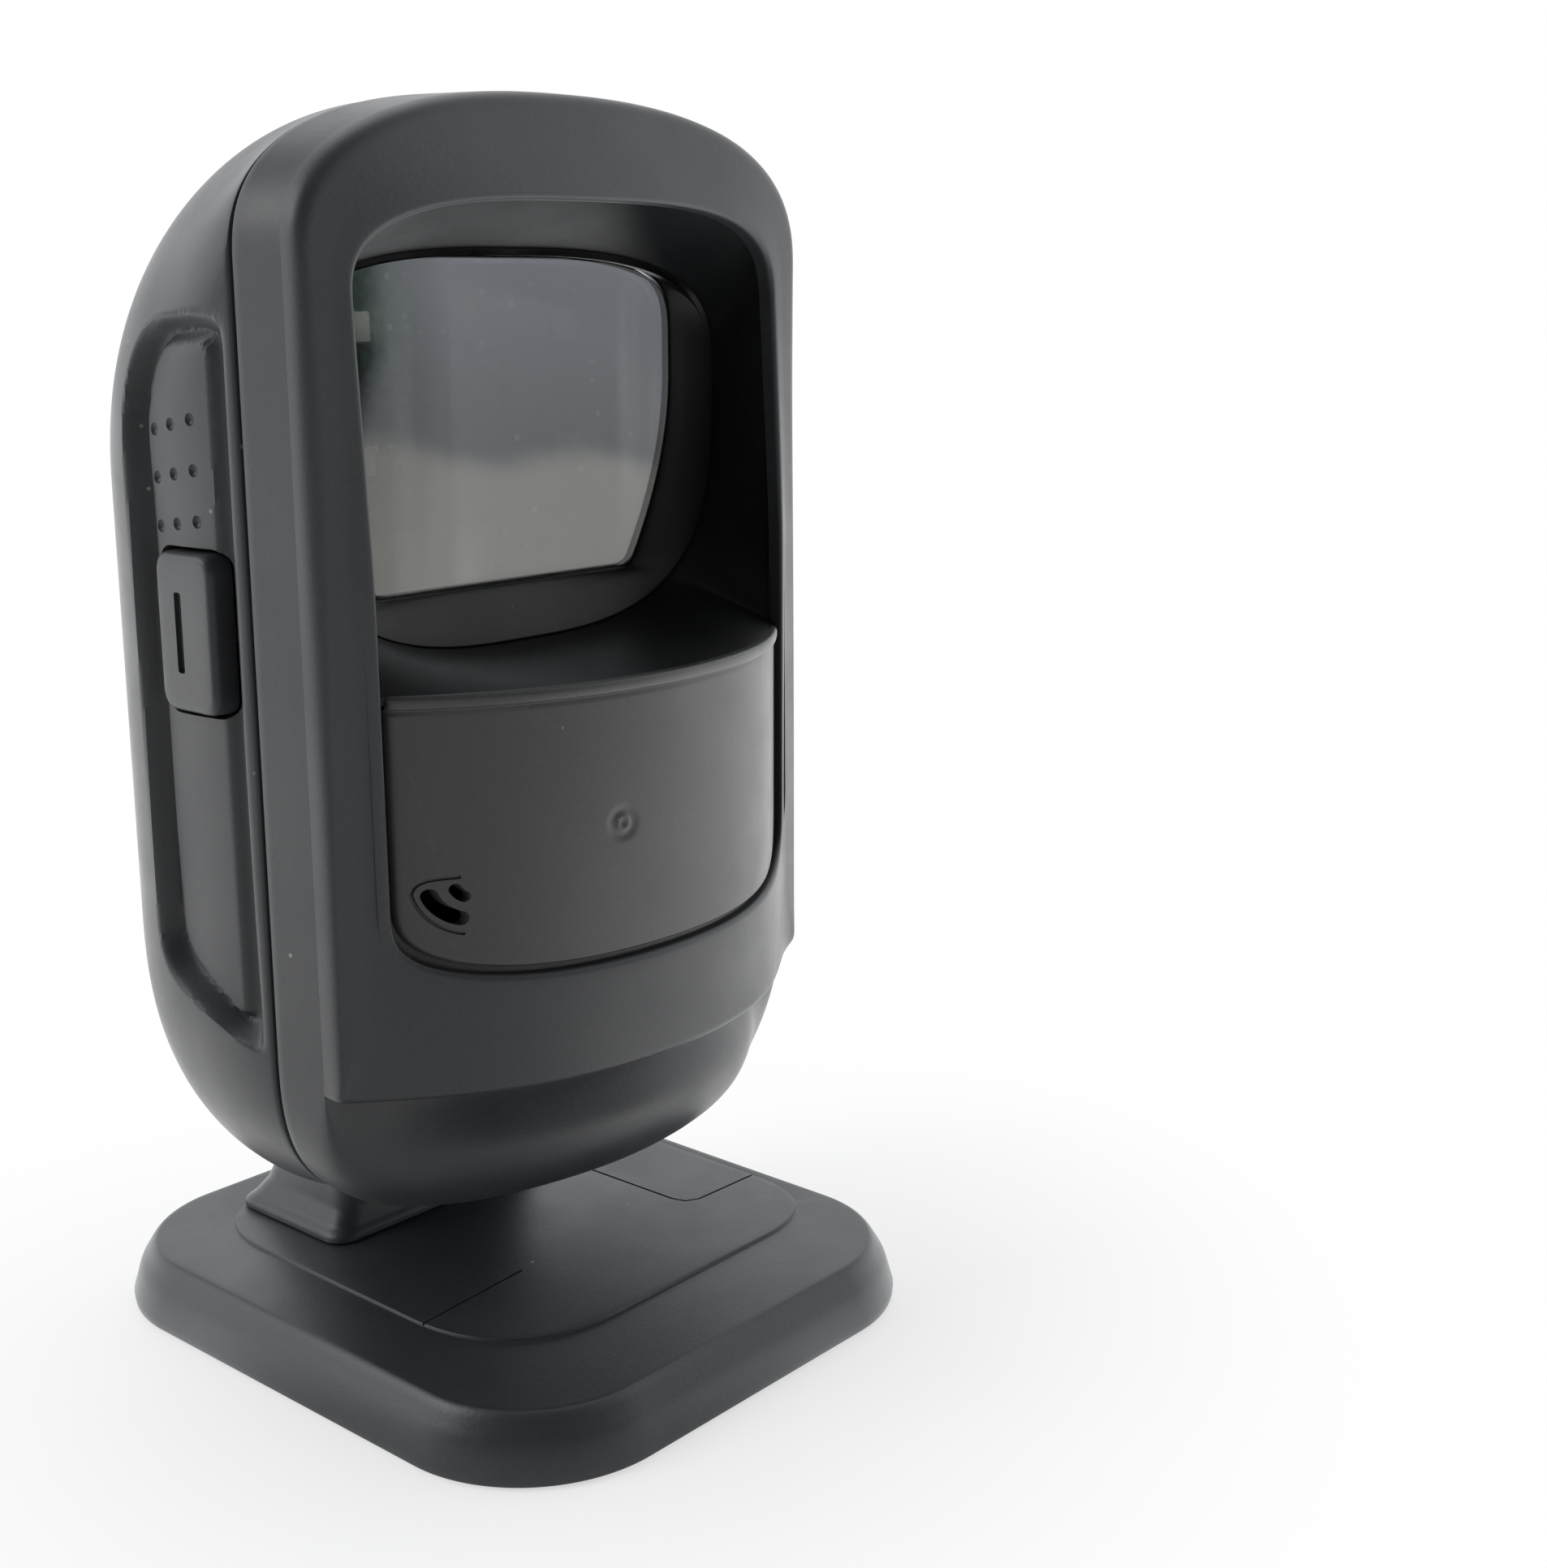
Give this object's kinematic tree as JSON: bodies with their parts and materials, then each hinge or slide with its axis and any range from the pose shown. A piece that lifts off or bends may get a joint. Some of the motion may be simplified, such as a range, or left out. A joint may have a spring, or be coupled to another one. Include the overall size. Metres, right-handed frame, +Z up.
{
  "type": "presentation barcode scanner",
  "caption": "Hands-free presentation barcode scanner: upright rounded scan head with a recessed tinted window and a side trigger, tilting on a short neck over a square weighted foot.",
  "frame": {"origin": "centre of the foot's underside, on the counter", "axes": "+Z up, the scan window faces -Y, +X is to the right of someone who looks at the window; the trigger is on the -X side"},
  "size_m": [0.0816, 0.082, 0.1447],
  "materials": {
    "shell": "fine spark-eroded grain, charcoal",
    "panel": "fine grain, charcoal",
    "black_moulding": "smooth black",
    "window": "tinted, mirror-like when dark behind",
    "circuit_board": "green solder mask",
    "lens": "coated optical glass",
    "emitter": "clear red resin",
    "flat_cable": "film and moulded nylon",
    "contact": "gold plated",
    "steel": "zinc plated",
    "rubber": "soft, matte"
  },
  "bodies": {
    "stand": {"foot_cover": "shell", "bottom_plate": "steel", "ballast_weight": "steel", "neck": "shell", "neck_screw_left": "steel", "neck_screw_right": "steel", "friction_washer_left": "steel", "friction_washer_right": "steel", "foot_screw_1": "steel", "foot_screw_2": "steel", "foot_screw_3": "steel", "foot_screw_4": "steel", "rubber_foot_1": "rubber", "rubber_foot_2": "rubber", "rubber_foot_3": "rubber", "rubber_foot_4": "rubber"},
    "head": {"front_shell": "shell", "rear_shell": "shell", "front_insert": "panel", "window_frame": "black_moulding", "scan_window": "window", "imager_board": "circuit_board", "main_board": "circuit_board", "switch_board": "circuit_board", "lens_barrel": "black_moulding", "image_sensor": "black_moulding", "imager_chassis": "black_moulding", "decoder_chip": "black_moulding", "cable_jack": "black_moulding", "switch_body": "black_moulding", "speaker_frame": "black_moulding", "speaker_cone": "black_moulding", "objective_lens": "lens", "aimer_led": "emitter", "illumination_led_1": "emitter", "illumination_led_2": "emitter", "illumination_led_3": "emitter", "illumination_led_4": "emitter", "ribbon_cable": "flat_cable", "switch_plunger": "flat_cable", "jack_contacts": "contact", "speaker_magnet": "steel", "tilt_pin": "steel", "tilt_bracket_left": "steel", "tilt_bracket_right": "steel", "shell_screw_1": "steel", "shell_screw_2": "steel", "shell_screw_3": "steel", "shell_screw_4": "steel"},
    "trigger": {"trigger_button": "shell"}
  },
  "joints": [
    {"name": "head_tilt", "type": "hinge", "parent": "stand", "child": "head", "pos_m": [0, 0.0175, 0.033], "axis": [-1, 0, 0], "range_deg": [-8, 15]},
    {"name": "trigger_press", "type": "slide", "parent": "head", "child": "trigger", "axis": [1, 0, 0], "range_m": [0, 0.001], "stiffness_N_per_m": 600}
  ]
}
